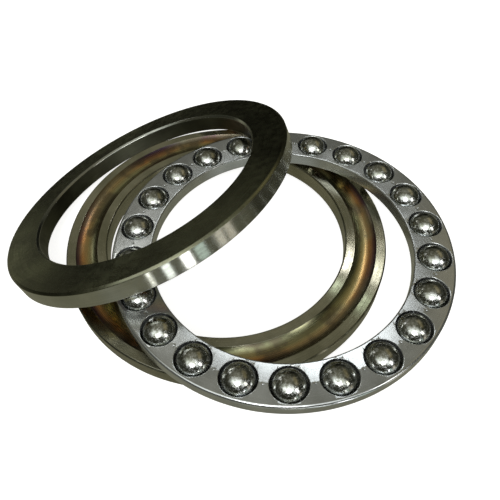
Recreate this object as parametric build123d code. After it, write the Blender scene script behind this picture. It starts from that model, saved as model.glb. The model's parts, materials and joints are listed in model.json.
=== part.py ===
from build123d import *
import os
from math import atan2, cos, degrees, radians, sin

# Single-direction thrust ball bearing, taken apart: the shaft washer lies groove up,
# the cage with its balls lies on it and is pushed to one side, and the housing washer
# leans over both, groove down.  Millimetres, +Z up, floor at Z = 0, origin under the
# middle of the bounding box.  The three rings share the XZ plane as a mirror plane.

# ---- boundary dimensions of the assembled bearing
SHAFT_BORE = 75.0
HOUSING_BORE = 77.0
OUTSIDE_DIAMETER = 100.0
ASSEMBLED_HEIGHT = 19.0

# ---- balls and raceways
BALL_DIAMETER = 9.525
BALL_COUNT = 22
PITCH_DIAMETER = (SHAFT_BORE + OUTSIDE_DIAMETER) / 2
WASHER_THICKNESS = 5.95
GROOVE_RADIUS = 5.05
BACK_CHAMFER = 0.6
GROOVE_FACE_CHAMFER = 0.4

# ---- machined cage
CAGE_BORE = 76.4
CAGE_OUTSIDE = 99.4
CAGE_THICKNESS = 4.6
CAGE_OUTER_ROUNDING = 0.9
CAGE_INNER_ROUNDING = 0.45
POCKET_DIAMETER = 9.9
POCKET_SEAT_DIAMETER = 9.1
POCKET_FLOOR = 0.7
STAKED_OPENING = 9.4
STAKE_WIDTH = 1.8
STAKE_THICKNESS = 0.5
PUNCH_RADIUS = 0.55
PUNCH_DEPTH = 0.3

# ---- how the three rings lie on each other
BALL_CLEARANCE = 0.03
CAGE_SHIFT = 19.7
FIRST_BALL_ANGLE = 6.4
HOUSING_TILT = 24.6
HOUSING_SHIFT = -29.9
HOUSING_LIFT = 6.8

# ---- worked out from the above
BALL_RADIUS = BALL_DIAMETER / 2
OUTER_RADIUS = OUTSIDE_DIAMETER / 2
PITCH_RADIUS = PITCH_DIAMETER / 2
BALL_STEP = 360 / BALL_COUNT
GROOVE_DEPTH = WASHER_THICKNESS - (ASSEMBLED_HEIGHT - BALL_DIAMETER) / 2
CAGE_HEIGHT = WASHER_THICKNESS + BALL_RADIUS + BALL_CLEARANCE
BASE_AND_UP = (Align.CENTER, Align.CENTER, Align.MIN)


def washer(bore):
    """A flat ring on Z = 0 with its ball groove in the upper face."""
    ring = Cylinder(OUTER_RADIUS, WASHER_THICKNESS, align=BASE_AND_UP)
    ring -= Cylinder(bore / 2, WASHER_THICKNESS, align=BASE_AND_UP)
    lower = ring.edges().filter_by_position(Axis.Z, 0, 0)
    ring = chamfer(lower, BACK_CHAMFER)
    upper = ring.edges().filter_by_position(Axis.Z, WASHER_THICKNESS, WASHER_THICKNESS)
    ring = chamfer(upper, GROOVE_FACE_CHAMFER)
    groove_centre = WASHER_THICKNESS - GROOVE_DEPTH + GROOVE_RADIUS
    return ring - Pos(0, 0, groove_centre) * Torus(PITCH_RADIUS, GROOVE_RADIUS)


def pocket_tool():
    """What one pocket takes out of the cage: a bore, a narrower seat under the ball,
    and two staked lips that hold the ball in from above."""
    half = CAGE_THICKNESS / 2
    seat_top = -half + POCKET_FLOOR
    bore = Pos(0, 0, seat_top) * Cylinder(
        POCKET_DIAMETER / 2, CAGE_THICKNESS, align=BASE_AND_UP
    )
    seat = Cylinder(POCKET_SEAT_DIAMETER / 2, 2 * CAGE_THICKNESS)
    lip = Box(POCKET_DIAMETER, STAKE_WIDTH, STAKE_THICKNESS, align=BASE_AND_UP)
    lip -= Cylinder(STAKED_OPENING / 2, CAGE_THICKNESS)
    lips = Pos(0, 0, half - STAKE_THICKNESS) * Rot(0, 0, 90) * lip
    return bore - lips + seat


def punch_mark():
    """A shallow round dimple in the upper face, struck to close a pocket's edge."""
    ball_radius = (PUNCH_RADIUS**2 + PUNCH_DEPTH**2) / (2 * PUNCH_DEPTH)
    return Pos(0, 0, CAGE_THICKNESS / 2 + ball_radius - PUNCH_DEPTH) * Sphere(ball_radius)


def cage():
    """The solid cage ring, its middle plane on Z = 0."""
    ring = Cylinder(CAGE_OUTSIDE / 2, CAGE_THICKNESS) - Cylinder(CAGE_BORE / 2, CAGE_THICKNESS)
    rims = ring.edges().filter_by(GeomType.CIRCLE)
    outer = [rim for rim in rims if rim.radius > PITCH_RADIUS]
    ring = fillet(outer, CAGE_OUTER_ROUNDING)
    rims = ring.edges().filter_by(GeomType.CIRCLE)
    inner = [
        rim
        for rim in rims
        if abs(rim.radius - CAGE_BORE / 2) < 0.01 and abs(rim.center().Z) > CAGE_THICKNESS / 4
    ]
    ring = fillet(inner, CAGE_INNER_ROUNDING)
    pocket = Pos(PITCH_RADIUS, 0, 0) * pocket_tool()
    mark = Pos(PITCH_RADIUS, 0, 0) * punch_mark()
    for index in range(BALL_COUNT):
        angle = ball_angle(index)
        ring -= Rot(0, 0, angle) * pocket
        ring -= Rot(0, 0, angle + BALL_STEP / 2) * mark
    return ring


def ball_angle(index):
    """Where a ball sits round the cage, in degrees from the cage's own X axis."""
    return FIRST_BALL_ANGLE + index * BALL_STEP


def ball(index):
    """One ball at its place in the cage."""
    return Rot(0, 0, ball_angle(index)) * Pos(PITCH_RADIUS, 0, 0) * Sphere(BALL_RADIUS)


def stack_tilt():
    """The lean of the stack: the line from the housing washer's lowest corner to the
    shaft washer's lowest corner lies on the floor."""
    tilt = radians(HOUSING_TILT)
    reach = OUTER_RADIUS - GROOVE_FACE_CHAMFER
    left_x = HOUSING_SHIFT - reach * cos(tilt)
    left_z = HOUSING_LIFT - reach * sin(tilt)
    right_x = OUTER_RADIUS - BACK_CHAMFER
    return degrees(atan2(-left_z, right_x - left_x))


# ---- placing the three rings
STACK = Rot(0, stack_tilt(), 0)
CAGE_PLACE = STACK * Pos(CAGE_SHIFT, 0, CAGE_HEIGHT)
HOUSING_PLACE = STACK * Pos(HOUSING_SHIFT, 0, HOUSING_LIFT) * Rot(0, -HOUSING_TILT, 0)
GROOVE_DOWN = Pos(0, 0, WASHER_THICKNESS) * Rot(180, 0, 0)


def assembly():
    """Every piece by its name, standing on the floor with the origin under the middle."""
    pieces = {
        "shaft_washer": STACK * washer(SHAFT_BORE),
        "cage": CAGE_PLACE * cage(),
        "housing_washer": HOUSING_PLACE * GROOVE_DOWN * washer(HOUSING_BORE),
    }
    for index in range(BALL_COUNT):
        pieces[f"ball_{index + 1:02d}"] = CAGE_PLACE * ball(index)
    box = Compound(list(pieces.values())).bounding_box()
    middle = (box.min + box.max) / 2
    shift = Pos(-middle.X, -middle.Y, -box.min.Z)
    return shift, {name: shift * piece for name, piece in pieces.items()}


SHIFT, PIECES = assembly()

os.makedirs("parts", exist_ok=True)
for name, piece in PIECES.items():
    export_step(piece, f"parts/{name}.step")
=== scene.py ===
import json
import math

import bpy
import numpy as np
from mathutils import Matrix, Vector


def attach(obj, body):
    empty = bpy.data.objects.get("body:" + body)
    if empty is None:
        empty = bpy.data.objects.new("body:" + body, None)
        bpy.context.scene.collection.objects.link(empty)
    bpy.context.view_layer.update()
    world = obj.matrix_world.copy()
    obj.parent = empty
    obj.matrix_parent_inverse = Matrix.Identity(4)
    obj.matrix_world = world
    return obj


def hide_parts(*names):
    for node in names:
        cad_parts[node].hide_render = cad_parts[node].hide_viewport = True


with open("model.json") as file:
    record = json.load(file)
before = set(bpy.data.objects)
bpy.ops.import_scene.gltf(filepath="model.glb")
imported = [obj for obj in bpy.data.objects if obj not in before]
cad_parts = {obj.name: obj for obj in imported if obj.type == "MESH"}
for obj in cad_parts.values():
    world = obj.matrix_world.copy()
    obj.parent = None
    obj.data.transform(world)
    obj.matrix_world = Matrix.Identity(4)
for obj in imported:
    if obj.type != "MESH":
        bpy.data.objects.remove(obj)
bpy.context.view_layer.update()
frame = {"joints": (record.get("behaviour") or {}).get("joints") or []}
joints = {joint["name"]: joint for joint in frame["joints"]}

# ---- the bearing's dimensions in millimetres, as in the CAD source
MM = 0.001
SHAFT_BORE = 75.0
HOUSING_BORE = 77.0
OUTER = 50.0
PITCH = 43.75
ASSEMBLED_HEIGHT = 19.0
BALL_RADIUS = 4.7625
BALLS = 22
THICKNESS = 5.95
GROOVE_RADIUS = 5.05
GROOVE_DEPTH = THICKNESS - ASSEMBLED_HEIGHT / 2 + BALL_RADIUS
BACK_CHAMFER = 0.6
FACE_CHAMFER = 0.4
CAGE_INSIDE = 38.2
CAGE_OUTSIDE = 49.7
CAGE_HALF = 2.3
CAGE_OUTER_ROUNDING = 0.9
CAGE_INNER_ROUNDING = 0.45
SEAT_RADIUS = 4.55
SEAT_TOP = -1.6
BALL_CLEARANCE = 0.03
CAGE_HEIGHT = THICKNESS + BALL_RADIUS + BALL_CLEARANCE
CAGE_SHIFT = 19.7

# ---- where the cage's look differs from the CAD: pockets with a rounded edge, a little
# longer round the ring than across it, and an upper face that falls to the bore, in degrees
POCKET_RADIUS = 4.85
POCKET_EDGE = 0.24
POCKET_STRETCH = 0.14
CAGE_DISH = 3.5

# ---- into how many steps the curves are divided
RING_STEPS = 360
CAGE_STEPS = 12 * BALLS
GROOVE_STEPS = 28
CORNER_STEPS = 4
POCKET_STEPS = 96
PUNCH_STEPS = 16
BALL_STEPS = 22

# ---- the camera: its place in metres, its lens in millimetres
CAMERA_PLACE = (0.07686, -0.08152, 0.12518)
CAMERA_LOOKS = (-0.40624, 0.5158, -0.75429)
CAMERA_UP = (-0.3298, 0.687, 0.6475)
CAMERA_LENS = 35.61


# ---- placing
def across(axis):
    """The direction in the XZ plane at right angles to an axis in that plane."""
    return Vector((axis[2], 0.0, -axis[0]))


def place(origin, z_axis, x_axis):
    """The matrix of a local frame with that origin and those axes."""
    z_axis, x_axis = Vector(z_axis).normalized(), Vector(x_axis).normalized()
    turn = Matrix((x_axis, z_axis.cross(x_axis), z_axis)).transposed()
    return Matrix.Translation(origin) @ turn.to_4x4()


# ---- outlines: lists of (radius, height, normal radius, normal height), anticlockwise
def arc(centre, radius, start, end, steps, hollow=False):
    """Points on an arc with their outward normals; a hollow arc's face looks at its centre."""
    side = -1.0 if hollow else 1.0
    points = []
    for i in range(steps + 1):
        a = math.radians(start + (end - start) * i / steps)
        points.append((centre[0] + radius * math.cos(a), centre[1] + radius * math.sin(a),
                       side * math.cos(a), side * math.sin(a)))
    return points


def broken_corner(corner, before, after, radius):
    """A corner between two straight edges, rounded; before and after are the directions
    of the edges' outward normals in degrees."""
    half = math.radians((after - before) / 2)
    middle = math.radians((after + before) / 2)
    reach = radius / math.cos(half)
    centre = (corner[0] - reach * math.cos(middle), corner[1] - reach * math.sin(middle))
    return arc(centre, radius, before, after, CORNER_STEPS)


def washer_outline(bore):
    """The section of a washer, and how many of its points come before its ball groove and
    how many are in it."""
    inner, top = bore / 2, THICKNESS
    edge, small, large = 0.12, 0.2, 0.3
    centre = (PITCH, top - GROOVE_DEPTH + GROOVE_RADIUS)
    reach = math.sqrt((GROOVE_RADIUS + edge) ** 2 - (centre[1] - top + edge) ** 2)
    slope = math.degrees(math.atan2(centre[1] - top + edge, reach))
    back, face = BACK_CHAMFER, FACE_CHAMFER
    rim = broken_corner((OUTER - back, 0), -90, -45, large)
    rim += broken_corner((OUTER, back), -45, 0, large)
    rim += broken_corner((OUTER, top - face), 0, 45, small)
    rim += broken_corner((OUTER - face, top), 45, 90, small)
    rim += arc((PITCH + reach, top - edge), edge, 90, 180 - slope, 3)
    groove = arc(centre, GROOVE_RADIUS, -slope, slope - 180, GROOVE_STEPS, hollow=True)[1:-1]
    inside = arc((PITCH - reach, top - edge), edge, slope, 90, 3)
    inside += broken_corner((inner + face, top), 90, 135, small)
    inside += broken_corner((inner, top - face), 135, 180, small)
    inside += broken_corner((inner, back), 180, 225, large)
    inside += broken_corner((inner + back, 0), 225, 270, large)
    return rim + groove + inside, len(rim), len(groove)


def cage_outline():
    """The section of the cage ring before its pockets are cut. Inside the ball circle the
    upper face falls very slightly to the bore."""
    outer, inner, ridge = CAGE_OUTER_ROUNDING, CAGE_INNER_ROUNDING, 0.12
    slope = math.tan(math.radians(CAGE_DISH))
    fall = slope * (PITCH - CAGE_INSIDE - inner)
    points = arc((CAGE_OUTSIDE - outer, outer - CAGE_HALF), outer, -90, 0, 9)
    points += arc((CAGE_OUTSIDE - outer, CAGE_HALF - outer), outer, 0, 90, 9)
    points += [(PITCH + ridge, CAGE_HALF, 0, 1),
               (PITCH - ridge, CAGE_HALF - 2 * ridge * slope, 0, 1)]
    points += arc((CAGE_INSIDE + inner, CAGE_HALF - fall - inner), inner, 90 + CAGE_DISH, 180, 6)
    points += arc((CAGE_INSIDE + inner, inner - CAGE_HALF), inner, 180, 270, 6)
    return points


# ---- meshes
def turned(name, outline, steps):
    """A ring with that section, turned about local Z, and its exact normals."""
    outline = np.array(outline)
    count = len(outline)
    angle = np.arange(steps) * 2 * math.pi / steps
    c, s = np.cos(angle)[:, None], np.sin(angle)[:, None]
    radius, height = outline[:, 0] * MM, outline[:, 1] * MM
    points = np.stack([radius * c, radius * s, np.broadcast_to(height, (steps, count))], -1)
    normals = np.stack([outline[:, 2] * c, outline[:, 2] * s,
                        np.broadcast_to(outline[:, 3], (steps, count))], -1)
    k, i = np.meshgrid(np.arange(steps), np.arange(count), indexing="ij")
    k2, i2 = (k + 1) % steps, (i + 1) % count
    faces = np.stack([k * count + i, k2 * count + i, k2 * count + i2, k * count + i2], -1)
    mesh = bpy.data.meshes.new(name)
    mesh.from_pydata(points.reshape(-1, 3).tolist(), [], faces.reshape(-1, 4).tolist())
    mesh.polygons.foreach_set("use_smooth", [True] * len(mesh.polygons))
    mesh.normals_split_custom_set_from_vertices(normals.reshape(-1, 3).tolist())
    return mesh


def revolved(outline, steps, stretch=None):
    """Vertices and faces of a closed solid turned about Z; the outline starts and ends on
    the axis. stretch(angle, height) may add to the radius."""
    vertices, faces = [(0, 0, outline[0][1])], []
    inner = outline[1:-1]
    for r, z in inner:
        for k in range(steps):
            a = 2 * math.pi * k / steps
            reach = r + (stretch(a, z) if stretch else 0.0)
            vertices.append((reach * math.cos(a), reach * math.sin(a), z))
    vertices.append((0, 0, outline[-1][1]))
    last = len(vertices) - 1
    for k in range(steps):
        n = (k + 1) % steps
        faces.append((0, 1 + n, 1 + k))
        for i in range(len(inner) - 1):
            a, b = 1 + i * steps, 1 + (i + 1) * steps
            faces.append((a + k, a + n, b + n, b + k))
        a = 1 + (len(inner) - 1) * steps
        faces.append((last, a + k, a + n))
    return vertices, faces


def pocket_cutter():
    """What one ball pocket takes out of the cage: a through hole, a seat under the ball, and
    a bore with a rounded top edge, a little longer round the ring than across it."""
    outline = [(0, -CAGE_HALF - 1), (SEAT_RADIUS, -CAGE_HALF - 1), (SEAT_RADIUS, SEAT_TOP - 0.1),
               (SEAT_RADIUS + 0.1, SEAT_TOP), (POCKET_RADIUS - 0.1, SEAT_TOP)]
    # the wall is in bands, so that its shading stays flat beside the rounded edge
    outline += [(POCKET_RADIUS, height) for height in (SEAT_TOP + 0.1, 0.2, 1.2, 1.5, 1.75)]
    for i in range(5):
        a = math.radians(90 * i / 4)
        outline.append((POCKET_RADIUS + POCKET_EDGE * (1 - math.cos(a)),
                        CAGE_HALF - POCKET_EDGE * (1 - math.sin(a))))
    outline += [(POCKET_RADIUS + POCKET_EDGE, CAGE_HALF + 1), (0, CAGE_HALF + 1)]

    def stretch(angle, height):
        return POCKET_STRETCH * math.sin(angle) ** 2 * (1.0 if height > SEAT_TOP else 0.0)

    return revolved(outline, POCKET_STEPS, stretch)


def punch_cutter(radius, depth):
    """One punch strike, as a shallow round tool with its middle on the upper face."""
    sphere = (radius**2 + depth**2) / (2 * depth)
    outline = [(0, -depth)]
    limit = math.asin(min(1.0, radius / sphere))
    for i in range(1, 6):
        a = limit * i / 5
        outline.append((sphere * math.sin(a), sphere * (1 - math.cos(a)) - depth))
    outline += [(radius + 0.06, 0.05), (radius + 0.2, 0.6), (0, 0.6)]
    return revolved(outline, PUNCH_STEPS)


def moved(shape, matrix, into):
    """Adds a moved copy of (vertices, faces) to the lists in into."""
    vertices, faces = shape
    start = len(into[0])
    into[0].extend(tuple(matrix @ Vector(v)) for v in vertices)
    into[1].extend(tuple(start + i for i in face) for face in faces)


def mesh_of(name, shape):
    """A mesh of (vertices, faces) given in millimetres."""
    mesh = bpy.data.meshes.new(name)
    mesh.from_pydata([tuple(x * MM for x in v) for v in shape[0]], [], shape[1])
    mesh.validate()
    return mesh


def new_object(name, data, matrix=None):
    obj = bpy.data.objects.new(name, data)
    bpy.context.scene.collection.objects.link(obj)
    if matrix is not None:
        obj.matrix_world = matrix
    return obj


def cage_mesh(first_ball):
    """The cage ring with its pockets and punch strikes cut out."""
    ring = new_object("ring_blank", turned("ring_blank", cage_outline(), CAGE_STEPS))
    tools = ([], [])
    chance = np.random.default_rng(7)
    pocket = pocket_cutter()
    for i in range(BALLS):
        angle = first_ball + i * 2 * math.pi / BALLS
        turn = Matrix.Rotation(angle, 4, "Z")
        moved(pocket, turn @ Matrix.Translation((PITCH, 0, 0)), tools)
        web = Matrix.Rotation(angle + math.pi / BALLS, 4, "Z")
        spot = (PITCH + chance.uniform(-0.3, 0.3), chance.uniform(-0.15, 0.15), CAGE_HALF - 0.02)
        strike = punch_cutter(chance.uniform(0.45, 0.6), chance.uniform(0.08, 0.12))
        moved(strike, web @ Matrix.Translation(spot), tools)
    tool = new_object("tool_blank", mesh_of("tool_blank", tools))
    cut = ring.modifiers.new("cut", "BOOLEAN")
    cut.object, cut.operation, cut.solver = tool, "DIFFERENCE", "EXACT"
    bpy.context.view_layer.update()
    done = ring.evaluated_get(bpy.context.evaluated_depsgraph_get())
    mesh = bpy.data.meshes.new_from_object(done)
    mesh.name = "cage_ring"
    bpy.data.objects.remove(ring)
    bpy.data.objects.remove(tool)
    mesh.polygons.foreach_set("use_smooth", [True] * len(mesh.polygons))
    mesh.set_sharp_from_angle(angle=math.radians(32))
    return mesh


def ball_mesh():
    """A ball made from a cube's six faces, so that it has no poles."""
    u = np.tan(np.linspace(-math.pi / 4, math.pi / 4, BALL_STEPS + 1))
    a, b = np.meshgrid(u, u, indexing="ij")
    one = np.ones_like(a)
    sides = [(a, b, one), (b, a, -one), (one, a, b), (-one, b, a), (b, one, a), (a, -one, b)]
    vertices, faces = [], []
    for side in sides:
        start = len(vertices)
        vertices += np.stack(side, -1).reshape(-1, 3).tolist()
        for i in range(BALL_STEPS):
            for j in range(BALL_STEPS):
                k = start + i * (BALL_STEPS + 1) + j
                faces.append((k, k + BALL_STEPS + 1, k + BALL_STEPS + 2, k + 1))
    points = np.array(vertices)
    points /= np.linalg.norm(points, axis=1)[:, None]
    mesh = bpy.data.meshes.new("ball")
    mesh.from_pydata((points * BALL_RADIUS * MM).tolist(), [], faces)
    mesh.polygons.foreach_set("use_smooth", [True] * len(mesh.polygons))
    mesh.normals_split_custom_set_from_vertices(points.tolist())
    return mesh


# ---- shader nodes
class Nodes:
    """Wires the nodes of one material or of the world."""

    def __init__(self, tree):
        self.tree = tree
        tree.nodes.clear()

    def add(self, kind, inputs=None, out=0, **settings):
        node = self.tree.nodes.new(kind)
        for key, value in settings.items():
            setattr(node, key, value)
        for key, value in (inputs or {}).items():
            if isinstance(value, bpy.types.NodeSocket):
                self.tree.links.new(value, node.inputs[key])
            else:
                node.inputs[key].default_value = value
        return node.outputs[out] if node.outputs else node

    def math(self, operation, *values):
        return self.add("ShaderNodeMath", dict(enumerate(values)), operation=operation)

    def weighted(self, a, share_a, b, share_b):
        a, b = self.math("MULTIPLY", a, share_a), self.math("MULTIPLY", b, share_b)
        return self.math("ADD", a, b)

    def vector(self, operation, *values, out=0):
        return self.add("ShaderNodeVectorMath", dict(enumerate(values)), out, operation=operation)

    def span(self, value, low, high, to_low=0.0, to_high=1.0, smooth=True):
        kind = "SMOOTHSTEP" if smooth else "LINEAR"
        return self.add("ShaderNodeMapRange", {0: value, 1: low, 2: high, 3: to_low, 4: to_high},
                        interpolation_type=kind)

    def mix(self, share, a, b):
        return self.add("ShaderNodeMix", {0: share, 6: a, 7: b}, 2, data_type="RGBA")

    def noise(self, vector, scale, detail, roughness):
        return self.add("ShaderNodeTexNoise", {"Vector": vector, "Scale": scale, "Detail": detail,
                                               "Roughness": roughness})

    def split(self, vector):
        node = self.tree.nodes.new("ShaderNodeSeparateXYZ")
        self.tree.links.new(vector, node.inputs[0])
        return node.outputs

    def ramp(self, value, stops):
        node = self.tree.nodes.new("ShaderNodeValToRGB")
        self.tree.links.new(value, node.inputs[0])
        points = node.color_ramp.elements
        while len(points) < len(stops):
            points.new(0.5)
        for point, (position, colour) in zip(points, stops):
            point.position, point.color = position, (*colour, 1.0)
        return node.outputs[0]


def millimetres(n):
    """Local coordinates in millimetres."""
    here = n.add("ShaderNodeTexCoord", out=3)
    return n.vector("MULTIPLY", here, (1000.0, 1000.0, 1000.0))


def round_the_axis(n, here, along, fine):
    """Coordinates for marks that run round local Z: long the way the piece was turned,
    fine across it. Also gives the radius."""
    x, y, z = n.split(here)
    flat = n.add("ShaderNodeCombineXYZ", {0: x, 1: y, 2: 0.0})
    radius = n.vector("LENGTH", flat, out=1)
    ring = n.vector("SCALE", n.vector("NORMALIZE", flat))
    ring.node.inputs["Scale"].default_value = along
    step = n.math("MULTIPLY", n.math("ADD", radius, z), fine)
    lift = n.add("ShaderNodeCombineXYZ", {0: 0.0, 1: 0.0, 2: step})
    return n.vector("ADD", ring, lift), radius


def material(name):
    """A new material, and its node tree to be wired."""
    made = bpy.data.materials.new(name)
    made.use_nodes = True
    return made, Nodes(made.node_tree)


def finish_steel(n, colour, roughness, height, distance, anisotropic=0.0, metallic=1.0):
    """Ends a material; distance is the bump in millimetres. Where anisotropic is set, glints
    stretch across the turning marks."""
    bump = n.add("ShaderNodeBump", {"Strength": 1.0, "Distance": distance * MM, "Height": height})
    shader = {"Base Color": colour, "Metallic": metallic, "Roughness": roughness, "Normal": bump}
    if anisotropic:
        shader["Anisotropic"] = anisotropic
        shader["Anisotropic Rotation"] = 0.25
        shader["Tangent"] = n.add("ShaderNodeTangent", direction_type="RADIAL", axis="Z")
    surface = n.add("ShaderNodeBsdfPrincipled", shader)
    n.add("ShaderNodeOutputMaterial", {0: surface})


def shaded(colour, painted_shade=1.0):
    """A colour with its alpha, darkened by a factor that paints shade."""
    return (*(c * painted_shade for c in colour), 1.0)


def ground_steel(name, low, high, roughness, bump):
    """A lightly oiled steel face, ground or turned: marks run round the axis."""
    made, n = material(name)
    here = millimetres(n)
    marks, _ = round_the_axis(n, here, 3.0, 12.0)
    fine = n.noise(marks, 1.0, 4.0, 0.65)
    coarse = n.noise(marks, 0.16, 2.0, 0.5)
    patch = n.noise(here, 0.09, 3.0, 0.55)
    grime = n.noise(here, 0.8, 4.0, 0.6)
    tone = n.weighted(fine, 0.45, patch, 0.55)
    colour = n.mix(n.span(tone, 0.36, 0.64), shaded(low), shaded(high))
    spots = n.span(n.noise(here, 2.2, 2.0, 0.5), 0.72, 0.80)
    rust = (low[0] * 0.4, low[1] * 0.36, low[2] * 0.28, 1.0)
    colour = n.mix(n.math("MULTIPLY", spots, 0.2), colour, rust)
    wear = n.span(n.weighted(coarse, 0.5, grime, 0.5), 0.35, 0.65,
                  roughness - 0.03, roughness + 0.05)
    rough = n.math("ADD", wear, n.math("MULTIPLY", spots, 0.05))
    height = n.weighted(fine, 1.0, n.noise(here, 1.0, 3.0, 0.6), 0.15)
    finish_steel(n, colour, rough, height, bump, 1.0)
    return made


def groove_steel(name):
    """The polished raceway, with bands across it from edge to edge that are partly temper and oil
    tints and partly painted reflection, golden in the middle and dark at both edges as painted
    shade.
    """
    made, n = material(name)
    here = millimetres(n)
    marks, radius = round_the_axis(n, here, 2.0, 3.0)
    wander = n.math("SUBTRACT", n.noise(marks, 0.5, 3.0, 0.55), 0.5)
    long_wander = n.math("SUBTRACT", n.noise(here, 0.035, 2.0, 0.5), 0.5)
    side = n.weighted(n.span(radius, PITCH - 3.3, PITCH + 3.3, smooth=False), 1.0, wander, 0.22)
    side = n.weighted(side, 1.0, long_wander, 0.25)
    # colour bands across the groove: partly tint, partly painted reflection in the middle and
    # painted shade at both edges
    colour = n.ramp(side, [(0.0, (0.12, 0.12, 0.08)), (0.22, (0.34, 0.34, 0.20)),
                           (0.45, (0.50, 0.40, 0.19)), (0.66, (0.56, 0.29, 0.11)),
                           (0.84, (0.22, 0.11, 0.09)), (1.0, (0.10, 0.07, 0.11))])
    oiled = n.span(n.noise(here, 0.06, 2.0, 0.5), 0.42, 0.58)
    colour = n.mix(0.5, colour, n.mix(oiled, colour, (0.36, 0.37, 0.22, 1.0)))
    smoke = n.span(n.noise(here, 0.11, 3.0, 0.6), 0.44, 0.62, 0.0, 0.75)
    colour = n.mix(smoke, colour, (0.16, 0.13, 0.09, 1.0))
    rough = n.span(n.noise(marks, 1.4, 3.0, 0.6), 0.3, 0.7, 0.20, 0.29)
    height = n.weighted(n.noise(marks, 2.0, 3.0, 0.6), 1.0, n.noise(here, 1.2, 3.0, 0.6), 0.5)
    finish_steel(n, colour, rough, height, 0.0012, 0.75)
    return made


def dark_steel(name, painted_shade=1.0, rougher=0.0):
    """The housing washer's back face and bore: dark turned steel under a film of oil. Its shade
    factor, below 1 for the bore, darkens it all as painted shade.
    """
    made, n = material(name)
    here = millimetres(n)
    marks, _ = round_the_axis(n, here, 2.5, 5.0)
    lines = n.noise(marks, 1.0, 3.0, 0.6)
    cloud = n.noise(here, 0.05, 3.0, 0.5)
    colour = n.mix(n.span(cloud, 0.35, 0.68), shaded((0.20, 0.20, 0.145), painted_shade),
                   shaded((0.38, 0.39, 0.27), painted_shade))
    colour = n.mix(n.span(lines, 0.45, 0.75, 0.0, 0.35), colour, shaded((0.10, 0.10, 0.07), painted_shade))
    rough = n.span(n.weighted(lines, 0.4, n.noise(here, 0.4, 4.0, 0.6), 0.6),
                   0.35, 0.65, 0.22 + rougher, 0.36 + rougher)
    height = n.weighted(lines, 1.0, n.noise(here, 2.0, 3.0, 0.6), 0.3)
    finish_steel(n, colour, rough, height, 0.0015, 0.4)
    return made


def cage_steel(name):
    """Satin machined steel with fine turning lines."""
    made, n = material(name)
    here = millimetres(n)
    marks, _ = round_the_axis(n, here, 6.0, 9.0)
    lines = n.noise(marks, 1.0, 4.0, 0.6)
    cloud = n.noise(here, 0.12, 3.0, 0.5)
    grit = n.noise(here, 5.0, 4.0, 0.7)
    colour = n.mix(n.span(n.weighted(lines, 0.4, cloud, 0.6), 0.36, 0.64),
                   (0.55, 0.57, 0.58, 1.0), (0.70, 0.72, 0.73, 1.0))
    rough = n.span(n.weighted(grit, 0.6, cloud, 0.4), 0.35, 0.65, 0.15, 0.23)
    finish_steel(n, colour, rough, n.weighted(lines, 0.6, grit, 0.6), 0.0012, metallic=0.88)
    return made


def ball_steel(name):
    """Lapped bearing steel with fine scratches and smears of oil, different on each ball."""
    made, n = material(name)
    chance = n.add("ShaderNodeObjectInfo", out=5)
    shift = n.math("MULTIPLY", chance, 60.0)
    shift = n.add("ShaderNodeCombineXYZ", {0: shift, 1: shift, 2: shift})
    here = n.vector("ADD", millimetres(n), shift)
    cloud = n.noise(here, 0.35, 3.0, 0.55)
    speck = n.noise(here, 1.6, 3.0, 0.6)
    colour = n.mix(n.span(n.weighted(cloud, 0.5, speck, 0.5), 0.40, 0.60),
                   (0.40, 0.41, 0.36, 1.0), (0.84, 0.86, 0.87, 1.0))
    rough = n.span(speck, 0.38, 0.68, 0.09, 0.30)
    scratch = n.noise(n.vector("MULTIPLY", here, (0.5, 6.0, 6.0)), 1.1, 2.0, 0.5)
    height = n.weighted(n.span(scratch, 0.62, 0.66), 0.6, speck, 1.0)
    finish_steel(n, colour, rough, height, 0.008)
    return made


# ---- light: dark surroundings with bright soft windows, as round the real bearing
def direction(azimuth, elevation):
    """The unit vector that way; azimuth is from +X towards +Y."""
    a, e = math.radians(azimuth), math.radians(elevation)
    return Vector((math.cos(a) * math.cos(e), math.sin(a) * math.cos(e), math.sin(e)))


def window(n, way, azimuth, elevation, wide, high, soft, colour, strength, roll=0.0):
    """A soft-edged rectangle of light in that direction; its half sizes, the width of its
    soft edge and its roll are in degrees."""
    middle = direction(azimuth, elevation)
    level = Vector((0, 0, 1)).cross(middle).normalized()
    upright = middle.cross(level)
    c, s = math.cos(math.radians(roll)), math.sin(math.radians(roll))
    side, up = level * c + upright * s, upright * c - level * s
    depth = n.vector("DOT_PRODUCT", way, tuple(middle), out=1)
    facing = n.math("MAXIMUM", depth, 0.05)
    mask = n.math("GREATER_THAN", depth, 0.05)
    for axis, half in ((side, wide), (up, high)):
        size = math.tan(math.radians(half))
        blur = math.tan(math.radians(soft)) / 2
        offset = n.math("DIVIDE", n.vector("DOT_PRODUCT", way, tuple(axis), out=1), facing)
        offset = n.math("ABSOLUTE", offset)
        mask = n.math("MULTIPLY", mask, n.span(offset, size - blur, size + blur, 1.0, 0.0))
    tint = tuple(c * strength for c in colour)
    return n.vector("MULTIPLY", n.add("ShaderNodeCombineXYZ", {0: mask, 1: mask, 2: mask}), tint)


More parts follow.
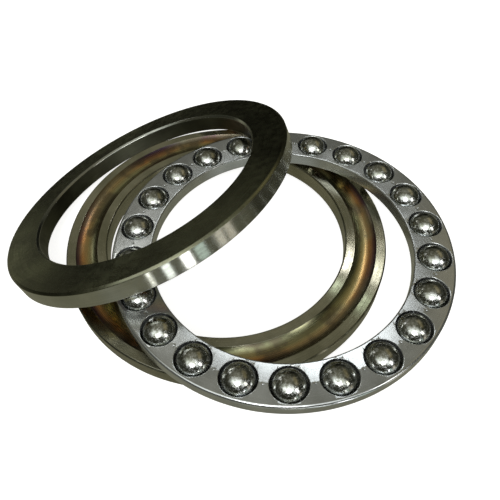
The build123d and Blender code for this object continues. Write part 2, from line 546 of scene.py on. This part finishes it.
def light_world():
    """A dim room, darker still in two places, with windows; the camera itself sees white."""
    world = bpy.data.worlds.new("studio")
    bpy.context.scene.world = world
    world.use_nodes = True
    n = Nodes(world.node_tree)
    way = n.vector("NORMALIZE", n.add("ShaderNodeTexCoord", out=0))
    up = n.span(n.split(way)[2], -1.0, 1.0, smooth=False)
    room = n.ramp(up, [(0.0, (0.19, 0.185, 0.13)), (0.30, (0.19, 0.185, 0.125)),
                       (0.42, (0.08, 0.08, 0.055)), (0.50, (0.028, 0.029, 0.021)),
                       (0.66, (0.036, 0.037, 0.027)), (0.80, (0.065, 0.063, 0.044)),
                       (0.92, (0.120, 0.116, 0.084)), (1.0, (0.19, 0.185, 0.14))])
    white = (1.0, 1.0, 1.0)
    for azimuth, elevation, wide, share in ((120, 8, 26, 0.75), (48, -16, 24, 0.7)):
        dark = window(n, way, azimuth, elevation, wide, 16, 14, white, share)
        room = n.vector("MULTIPLY", room, n.vector("SUBTRACT", white, dark))
    # azimuth, elevation, half width, half height, soft edge, colour, strength, roll
    lights = [
        (302, 44, 12, 8, 5, (1.0, 1.0, 1.0), 6.0, 12),
        (284, 47, 4, 4, 4, (1.0, 1.0, 0.98), 4.0, 0),
        (298, 54, 34, 14, 16, (0.97, 1.0, 0.97), 1.15, 0),
        (290, 74, 30, 9, 16, (0.97, 1.0, 0.93), 0.35, 0),
        (356, 25, 6, 11, 4, (1.0, 0.99, 0.95), 4.0, 6),
        (338, 30, 7, 9, 8, (0.93, 1.0, 0.96), 0.45, 0),
        (238, 54, 14, 11, 12, (0.93, 1.0, 0.93), 0.32, 0),
        (173, 38, 4, 4, 4, (1.0, 1.0, 0.95), 1.2, 0),
        (54, 45, 22, 10, 14, (1.0, 0.82, 0.42), 0.16, 0),
        (170, 1, 6, 7, 6, (1.0, 1.0, 0.72), 0.25, 0),
        (149, 16, 7, 4, 5, (1.0, 1.0, 0.72), 0.09, 0),
        (145, 36, 6, 7, 8, (1.0, 1.0, 0.92), 0.12, 0),
        (315, -52, 34, 14, 14, (0.88, 1.0, 1.08), 0.12, 0),
        (304.5, -23, 0.9, 16, 0.9, (1.0, 1.0, 0.93), 3.0, 15),
        (317, -21, 2.4, 16, 1.4, (0.95, 1.0, 0.98), 2.4, 12),
        (330.5, -18, 3.2, 16, 1.6, (1.0, 1.0, 1.0), 3.8, 9),
        (340.5, -17, 3.4, 16, 2.0, (0.80, 1.0, 0.92), 0.75, 8),
        (355, -15, 2.6, 16, 2.0, (1.0, 0.93, 0.80), 0.75, 2),
        (2.5, -15, 2.6, 16, 2.0, (1.0, 0.90, 0.75), 0.60, 0),
    ]
    total = room
    for azimuth, elevation, wide, high, soft, colour, strength, roll in lights:
        total = n.vector("ADD", total, window(n, way, azimuth, elevation, wide, high, soft,
                                              colour, strength, roll))
    seen = n.add("ShaderNodeLightPath", out=0)
    shown = n.add("ShaderNodeBackground", {0: (1.0, 1.0, 1.0, 1.0), 1: 1.0})
    lit = n.add("ShaderNodeBackground", {0: total, 1: 1.0})
    both = n.add("ShaderNodeMixShader", {0: seen, 1: lit, 2: shown})
    n.add("ShaderNodeOutputWorld", {0: both})


def panel(name, receiver, azimuth, elevation, wide, high, strength, colour=(1.0, 1.0, 1.0)):
    """A panel above and behind the bearing that only one piece picks up; its half sizes
    are in degrees as seen from the bearing, and its strength is a radiance."""
    away = 1.5
    data = bpy.data.lights.new(name, "AREA")
    data.shape = "RECTANGLE"
    data.size = 2 * away * math.tan(math.radians(wide))
    data.size_y = 2 * away * math.tan(math.radians(high))
    data.energy, data.color = strength * math.pi * data.size * data.size_y, colour
    far = direction(azimuth, elevation) * away
    turn = far.to_track_quat("Z", "Y").to_matrix().to_4x4()
    light = new_object(name, data, Matrix.Translation(far) @ turn)
    lit = bpy.data.collections.new("lit_by_" + name)
    lit.objects.link(receiver)
    light.light_linking.receiver_collection = lit


def pale_floor():
    """A nearly white floor that glows a little, so that shadows on it stay faint."""
    made, n = material("pale_floor")
    grain = n.noise(millimetres(n), 0.02, 2.0, 0.5)
    pale = n.mix(grain, (0.80, 0.80, 0.79, 1.0), (0.82, 0.82, 0.81, 1.0))
    glow = n.add("ShaderNodeEmission", {0: (1.0, 1.0, 1.0, 1.0), 1: 0.88})
    matt = n.add("ShaderNodeBsdfDiffuse", {0: pale})
    n.add("ShaderNodeOutputMaterial", {0: n.add("ShaderNodeAddShader", {0: glow, 1: matt})})
    half = 6.0
    corners = [(-half, -half, 0), (half, -half, 0), (half, half, 0), (-half, half, 0)]
    mesh = bpy.data.meshes.new("floor")
    mesh.from_pydata(corners, [], [(0, 1, 2, 3)])
    mesh.materials.append(made)
    floor = new_object("floor", mesh, Matrix.Translation((0, 0, -0.0002)))
    floor.visible_glossy = False
    floor.visible_diffuse = False


def make_camera():
    data = bpy.data.cameras.new("camera")
    data.lens, data.sensor_width = CAMERA_LENS, 36.0
    data.clip_start, data.clip_end = 0.005, 20.0
    looking = Vector(CAMERA_LOOKS).normalized()
    right = looking.cross(Vector(CAMERA_UP)).normalized()
    upward = right.cross(looking)
    turn = Matrix((right, upward, -looking)).transposed().to_4x4()
    camera = new_object("camera", data, Matrix.Translation(CAMERA_PLACE) @ turn)
    bpy.context.scene.camera = camera


# ---- building the bearing
def washer_piece(name, node, bore, origin, axis, materials, body):
    """A washer: its back face on local Z = 0, its ball groove in the other face. Its
    materials are for the rim and lands, the groove, the back face and the bore."""
    outline, before, groove = washer_outline(bore)
    mesh = turned(name, outline, RING_STEPS)
    for made in materials:
        mesh.materials.append(made)
    corner = CORNER_STEPS + 1
    index = np.zeros((RING_STEPS, len(outline)), int)
    index[:, before - 1:before + groove] = 1
    index[:, :2 * corner - 1] = 2
    index[:, -1] = 2
    index[:, -4 * corner:-2 * corner] = 3
    mesh.polygons.foreach_set("material_index", index.ravel())
    piece = new_object(name, mesh, place(origin, axis, across(axis)))
    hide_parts(node)
    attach(piece, body)
    return piece


cage_axis = Vector(joints["cage_spin"]["axis"])
cage_centre = Vector(joints["cage_spin"]["pos_m"])
housing_axis = Vector(joints["housing_washer_spin"]["axis"])
housing_face = Vector(joints["housing_washer_spin"]["pos_m"])
shaft_base = cage_centre - cage_axis * CAGE_HEIGHT * MM - across(cage_axis) * CAGE_SHIFT * MM

# the shaft washer's steel is the housing washer's ground steel made darker as painted shade, and
# yellower
lands = ground_steel("shaft_washer_ground_painted_shade", (0.29, 0.285, 0.215), (0.50, 0.485, 0.40), 0.15, 0.0003)
rim = ground_steel("housing_washer_ground", (0.50, 0.51, 0.47), (0.66, 0.67, 0.63), 0.16, 0.0002)
groove = groove_steel("raceway")
back = dark_steel("housing_washer_back")
# the bore: the back face's steel darkened to about a third, as painted shade inside the hole
bore = dark_steel("housing_washer_bore_painted_shade", 0.35, 0.2)
shaft = washer_piece("shaft_washer_body", "shaft_washer", SHAFT_BORE, shaft_base, cage_axis,
                     [lands, groove, lands, lands], "shaft_washer")
washer_piece("housing_washer_body", "housing_washer", HOUSING_BORE,
             housing_face + housing_axis * THICKNESS * MM, -housing_axis,
             [rim, groove, back, bore], "housing_washer")

to_first_ball = Vector(joints["ball_01_spin"]["pos_m"]) - cage_centre
cage_place = place(cage_centre, cage_axis, across(cage_axis))
local = cage_place.to_3x3().inverted() @ to_first_ball
ring = cage_mesh(math.atan2(local.y, local.x))
ring.materials.append(cage_steel("cage_satin"))
cage = new_object("cage_ring", ring, cage_place)
weigh = cage.modifiers.new("flat_faces_stay_flat", "WEIGHTED_NORMAL")
weigh.keep_sharp, weigh.weight = True, 90
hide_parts("cage")
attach(cage, "cage")

sphere = ball_mesh()
sphere.materials.append(ball_steel("ball_polished"))
for i in range(1, BALLS + 1):
    joint = joints[f"ball_{i:02d}_spin"]
    turn = place(joint["pos_m"], joint["axis"], Vector(joint["axis"]).cross(cage_axis))
    ball = new_object(f"ball_{i:02d}_body", sphere, turn)
    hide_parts(f"ball_{i:02d}")
    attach(ball, f"ball_{i:02d}")

light_world()
panel("cage_panel", cage, 101, 59.5, 8, 3.8, 3.2, (0.95, 0.99, 1.0))
panel("left_web_panel", cage, 136, 60, 4, 3, 3.0, (1.0, 1.0, 0.95))
panel("land_panel", shaft, 92, 53.6, 4, 1.2, 8.0)
panel("land_panel_green", shaft, 88, 57.2, 3, 0.9, 3.0, (0.85, 1.0, 0.85))
panel("olive_panel", shaft, 112, 50, 34, 20, 0.12, (1.0, 0.97, 0.72))
pale_floor()
make_camera()
bpy.context.scene.view_settings.view_transform = "Standard"
